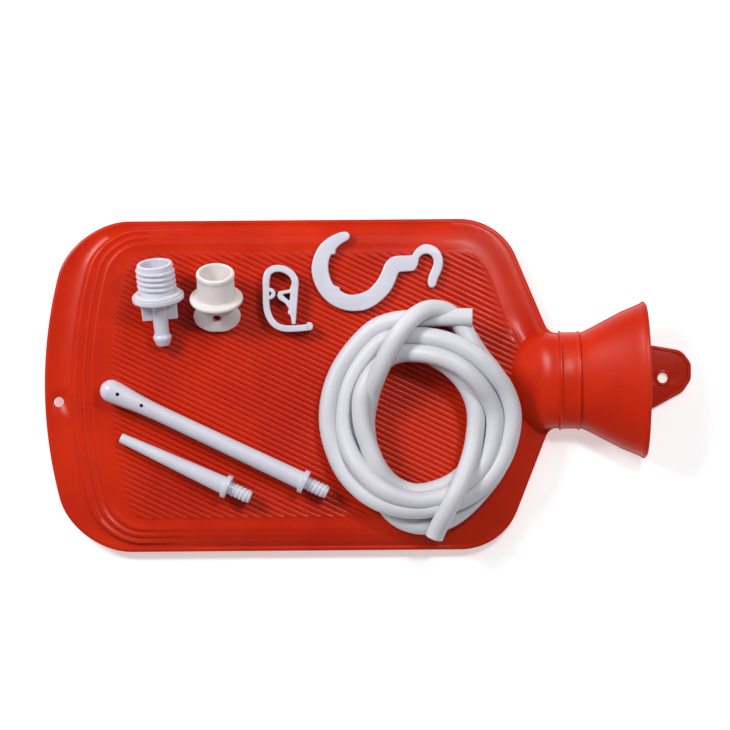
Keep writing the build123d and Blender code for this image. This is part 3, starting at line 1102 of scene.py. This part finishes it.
white_plastic = moulded_finish(
    "white_plastic", (0.66, 0.65, 0.73), (0.60, 0.59, 0.68), 14.0, 0.30, 0.8, 0.03
)
white_shader = white_plastic.node_tree.nodes["Principled BSDF"]
white_shader.inputs["Subsurface Weight"].default_value = 0.06
white_shader.inputs["Subsurface Radius"].default_value = (0.002, 0.002, 0.002)
white_shader.inputs["Subsurface Scale"].default_value = 0.5

stopper_frame = lying_frame(-124.4, 54.8, 29.76, -85.8, 20.5)
stopper_profile = [
    (-19.8, 8.8),
    (-19.8, 10.3),
    (-19.3, 10.6),
    (0.0, 10.6),
    (0.0, 15.5),
    (2.7, 15.5),
    (2.7, 6.2),
    (3.6, 4.9),
    (24.6, 4.4),
    (26.0, 5.5),
    (27.6, 5.5),
    (31.3, 4.1),
    (31.7, 3.7),
    (31.7, 2.9),
    (31.3, 2.6),
    (-1.5, 2.6),
    (-2.5, 3.2),
    (-2.5, 7.6),
    (-3.2, 8.2),
    (-19.3, 8.4),
]
stopper_shells = [turned(eased(stopper_profile, 0.35))]
stopper_shells.append(thread_shell(-17.8, 4.6, 3.2, 10.6, 1.15, 1.15, white_plastic))
for side in (-1, 1):
    wing = [
        (2.2, side * 3.6, 0.0),
        (2.2, side * 11.0, 0.0),
        (15.2, side * 10.6, 0.7),
        (15.6, side * 9.8, 0.7),
        (15.6, side * 3.6, 0.0),
    ]
    stopper_shells.append(plate(rounded_corners(wing, 0.8), [], -1.3, 1.3, 0.45))
stopper = make_piece(
    "screw_stopper", [placed(shell, stopper_frame) for shell in stopper_shells], white_plastic
)
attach(stopper, "tube_stopper")
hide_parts("tube_stopper")

washer_finish = moulded_finish(
    "washer_rubber", (0.68, 0.69, 0.72), (0.60, 0.61, 0.64), 9.0, 0.55, 0.6, 0.04
)
washer_profile = [(-1.8, 10.75), (-1.8, 13.2), (-1.2, 13.9), (-0.1, 14.2), (-0.1, 10.75)]
washer = make_piece(
    "stopper_washer", [placed(turned(eased(washer_profile, 0.3)), stopper_frame)], washer_finish
)
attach(washer, "tube_stopper")
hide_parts("tube_stopper_washer")


# ---- Plain stopper ----
# A softer, milky plug for closing the bag: a hollow cup with a rim bead, a flange
# and a fan-shaped finger tab with a hole.

milky_plastic = moulded_finish(
    "milky_plastic", (0.78, 0.73, 0.72), (0.70, 0.65, 0.64), 10.0, 0.36, 0.7, 0.04
)
milky_shader = milky_plastic.node_tree.nodes["Principled BSDF"]
milky_shader.inputs["Subsurface Weight"].default_value = 0.25
milky_shader.inputs["Subsurface Radius"].default_value = (0.005, 0.004, 0.003)
milky_shader.inputs["Subsurface Scale"].default_value = 0.6

plug_frame = lying_frame(-89.6, 53.4, 29.08, -90.0, 33.0)
plug_profile = [
    (2.5, 0.0),
    (2.5, 15.0),
    (2.2, 15.8),
    (1.2, 16.0),
    (0.3, 15.8),
    (0.0, 15.0),
    (0.0, 12.4),
    (-0.8, 11.5),
    (-13.0, 11.0),
    (-13.9, 11.3),
    (-15.0, 11.5),
    (-16.1, 11.4),
    (-16.9, 10.8),
    (-17.0, 9.8),
    (-16.6, 9.3),
    (-3.0, 9.1),
    (-2.0, 8.2),
    (-2.0, 0.0),
]
fan = [
    (1.8, -9.5, 0.0),
    (5.0, -9.5, 4.0),
    (12.0, -14.6, 5.0),
    (19.0, -12.6, 8.0),
    (23.8, -5.5, 10.0),
    (23.8, 5.5, 10.0),
    (19.0, 12.6, 8.0),
    (12.0, 14.6, 5.0),
    (5.0, 9.5, 4.0),
    (1.8, 9.5, 0.0),
]
fan_plate = plate(rounded_corners(fan, 1.0), [circle(14.6, 0.0, 2.4, 24)], -1.9, 1.9, 0.7)
plug = make_piece(
    "plain_plug",
    [placed(turned(eased(plug_profile, 0.25)), plug_frame), placed(fan_plate, plug_frame)],
    milky_plastic,
)
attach(plug, "plain_stopper")
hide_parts("plain_stopper")


# ---- Pinch clamp ----
# One strip of white plastic in three pieces here: a latch arm, a toothed jaw arm and
# the springy loop between them. The real loop bends when the clamp is squeezed; this one keeps one
# shape.

clamp_low = 14.3
clamp_high = 22.8
clamp_edge = 0.55


def strip(line, width):
    """Outline of a strip of one width along a line of 2-D points."""
    left_side = []
    right_side = []
    for number, (x, y) in enumerate(line):
        before = line[max(number - 1, 0)]
        after = line[min(number + 1, len(line) - 1)]
        run = Vector((after[0] - before[0], after[1] - before[1])).normalized()
        left_side.append((x - run.y * width / 2, y + run.x * width / 2))
        right_side.append((x + run.y * width / 2, y - run.x * width / 2))
    return left_side + right_side[::-1]


def flowing(points, rounds=3):
    """Open line with its corners cut again and again, ends kept."""
    for _ in range(rounds):
        cut = [points[0]]
        for (ax, ay), (bx, by) in zip(points, points[1:]):
            cut.append((0.75 * ax + 0.25 * bx, 0.75 * ay + 0.25 * by))
            cut.append((0.25 * ax + 0.75 * bx, 0.25 * ay + 0.75 * by))
        cut.append(points[-1])
        points = cut
    return points


loop_line = [(-60.1, 60.0), (-60.2, 63.5), (-59.0, 68.3), (-54.5, 70.6), (-49.5, 70.0)]
loop_line += [(-45.0, 67.4), (-42.6, 63.4), (-42.7, 60.0)]
latch_line = [(-60.1, 61.4), (-60.2, 52.0), (-60.0, 45.5), (-57.2, 38.4), (-51.8, 34.4)]
latch_line += [(-44.0, 34.0), (-34.6, 34.9)]
latch_head = rounded_corners(
    [(-37.0, 32.7, 1.5), (-32.4, 33.2, 1.8), (-32.1, 37.6, 2.0), (-35.6, 38.2, 1.2)], 0.7
)
jaw_corners = [
    (-40.6, 61.2, 0.0),
    (-42.6, 36.7, 0.8),
    (-44.8, 36.7, 0.8),
    (-45.4, 41.4, 1.0),
    (-47.3, 43.7, 0.8),
    (-46.5, 46.0, 0.8),
    (-48.8, 49.4, 1.0),
    (-52.4, 51.7, 1.5),
    (-53.5, 54.0, 1.0),
    (-52.4, 56.6, 1.0),
    (-45.8, 57.6, 1.5),
    (-44.8, 61.2, 0.0),
]
jaw_window = rounded_corners(
    [(-50.6, 54.6, 0.5), (-45.6, 55.6, 0.5), (-46.0, 50.6, 0.5)], 0.6
)
pad = circle(-58.0, 55.2, 3.5, 28)
latch_shells = [plate(strip(flowing(latch_line), 3.9), [], clamp_low, clamp_high, clamp_edge)]
latch_shells.append(plate(latch_head, [], clamp_low, clamp_high, clamp_edge))
latch_shells.append(
    plate(pad, [circle(-58.0, 55.2, 1.1, 16)], clamp_low + 0.1, clamp_high - 0.1, clamp_edge)
)
latch = make_piece("clamp_latch", latch_shells, white_plastic)
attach(latch, "clamp")
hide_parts("clamp_latch_arm")

jaw_outline = rounded_corners(jaw_corners, 0.9)
jaw = make_piece(
    "clamp_jaw_arm_toothed",
    [plate(jaw_outline, [jaw_window], clamp_low, clamp_high, clamp_edge)],
    white_plastic,
)
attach(jaw, "clamp_jaw")
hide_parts("clamp_jaw_arm")

loop_outline = strip(flowing(loop_line), 4.1)
spring_loop = make_piece(
    "clamp_spring_loop",
    [plate(loop_outline, [], clamp_low, clamp_high, clamp_edge)],
    white_plastic,
)
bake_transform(spring_loop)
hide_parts("clamp_loop")


# ---- Double-ended hook ----
# A flat white moulding: the large open hook goes over a rail, the small one
# through the hole of the bag.

hook_low = 14.3
hook_high = 18.3
hook_points = [
    (-13.9, 92.4), (-18.8, 90.7), (-23.7, 88.0), (-28.0, 84.3), (-31.0, 78.8), (-32.7, 73.3),
    (-33.0, 68.4), (-31.9, 62.9), (-29.2, 56.8), (-24.3, 50.7), (-18.8, 47.0), (-12.7, 44.8),
    (-7.2, 44.3), (-1.0, 44.8), (5.1, 47.6), (10.6, 51.9), (14.9, 56.8), (17.3, 61.7),
    (19.2, 66.8), (19.8, 67.6), (21.0, 67.8), (28.2, 68.2), (29.2, 68.7), (31.4, 72.6),
    (31.6, 75.6), (33.4, 77.9), (36.4, 78.7), (39.2, 77.6), (40.6, 75.0), (40.4, 71.8),
    (38.6, 68.0), (37.0, 63.8), (36.8, 60.6), (38.0, 58.2), (40.4, 58.0), (42.0, 59.8),
    (42.8, 63.4), (45.0, 67.4), (46.5, 72.6), (45.7, 78.0), (42.6, 82.6), (36.2, 84.8),
    (31.6, 83.0), (28.6, 79.6), (27.9, 77.9), (26.8, 77.6), (18.0, 77.6), (14.2, 76.2),
    (11.0, 72.8), (8.8, 66.6), (5.4, 61.1), (0.2, 56.2), (-7.2, 54.0), (-12.0, 54.7),
    (-15.3, 56.6), (-15.9, 57.1), (-15.9, 58.6), (-17.0, 59.3), (-19.9, 60.2), (-21.8, 64.7),
    (-23.0, 70.2), (-22.4, 75.2), (-21.2, 78.0), (-20.7, 78.5), (-18.9, 78.6), (-18.4, 79.2),
    (-18.2, 82.1), (-14.5, 85.2), (-10.8, 87.1), (-9.4, 89.2), (-10.6, 91.9),
]


def rounded_loop(points, rounds=2):
    """Closed loop with its corners cut again and again."""
    for _ in range(rounds):
        cut = []
        for (ax, ay), (bx, by) in zip(points, points[1:] + points[:1]):
            cut.append((0.75 * ax + 0.25 * bx, 0.75 * ay + 0.25 * by))
            cut.append((0.25 * ax + 0.75 * bx, 0.25 * ay + 0.75 * by))
        points = cut
    return points


hook = make_piece(
    "rail_hook", [plate(rounded_loop(hook_points), [], hook_low, hook_high, 0.9)], white_plastic
)
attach(hook, "hook")
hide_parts("hanging_hook")


# ---- Long and short nozzles ----
# Straight white tubes with a flange and a threaded tail. The long one has a
# rounded bulb with side holes, the short one an open tapered tip.

nozzle_tail = 14.3
flange_width = 3.0


def nozzle_profile(tip, length, bore_end):
    """Turned outline of a nozzle from its tip to its threaded tail and back along the bore."""
    flange_end = length - nozzle_tail
    flange_start = flange_end - flange_width
    return tip + [
        (flange_start - 0.6, 5.45),
        (flange_start, 5.9),
        (flange_start, 7.25),
        (flange_end, 7.25),
        (flange_end, 3.75),
        (length - 0.5, 3.7),
        (length, 3.3),
        (length, 2.4),
        (length - 0.3, 2.2),
    ] + bore_end


bulb = [(0.0, 0.0)]
for step in range(1, 10):
    turn = radians(10 * step)
    bulb.append((6.8 * (1 - cos(turn)), 6.8 * sin(turn)))
bulb += [(11.0, 6.65), (15.0, 6.3), (20.0, 5.8), (25.0, 5.4)]
bulb += [(31.0, 5.05), (38.0, 4.85), (48.0, 4.85)]
for name, body, node, length, placing, tip, bore_end, holes in (
    (
        "bulb_nozzle",
        "long_nozzle",
        "long_nozzle",
        150.0,
        lying_frame(-159.5, 0.6, 21.25, -25.7, -0.15),
        bulb,
        [(9.5, 2.2), (9.0, 0.0)],
        (11.5, 27.2),
    ),
    (
        "tapered_nozzle",
        "short_nozzle",
        "short_nozzle",
        86.0,
        lying_frame(-148.2, -30.6, 17.4, -25.0, -3.4),
        [(0.3, 2.2), (0.0, 2.35), (0.0, 2.75), (0.4, 3.05)],
        [],
        (),
    ),
):
    profile = nozzle_profile(tip, length, bore_end)
    body_piece = make_piece(name, [placed(turned(eased(profile, 0.3), 48), placing)], white_plastic)
    if holes:
        drills = []
        for place in holes:
            drill = turned([(-9, 0), (-9, 1.15), (9, 1.15), (9, 0)], 20)
            upright = [(place + y, z, x) for x, y, z in drill[0]]
            drills.append(placed((upright, drill[1]), placing))
        cutter = make_piece("cutter", drills, white_plastic)
        cut = body_piece.modifiers.new("side_holes", "BOOLEAN")
        cut.operation = "DIFFERENCE"
        cut.object = cutter
        cut.solver = "EXACT"
        bpy.context.view_layer.update()
        ready = body_piece.evaluated_get(bpy.context.evaluated_depsgraph_get())
        drilled = bpy.data.meshes.new_from_object(ready)
        body_piece.modifiers.clear()
        body_piece.data = drilled
        bpy.data.objects.remove(cutter)
    ridge = thread_shell(length - nozzle_tail + 1.8, 4.4, 2.6, 3.7, 0.5, 0.95, white_plastic)
    tail_points, tail_faces = placed(ridge, placing)
    tail = make_piece("tail", [(tail_points, tail_faces)], white_plastic)
    joined = bmesh.new()
    joined.from_mesh(body_piece.data)
    joined.from_mesh(tail.data)
    joined.to_mesh(body_piece.data)
    joined.free()
    bpy.data.objects.remove(tail)
    body_piece.data.shade_smooth()
    body_piece.data.set_sharp_from_angle(angle=radians(35))
    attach(body_piece, body)
    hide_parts(node)
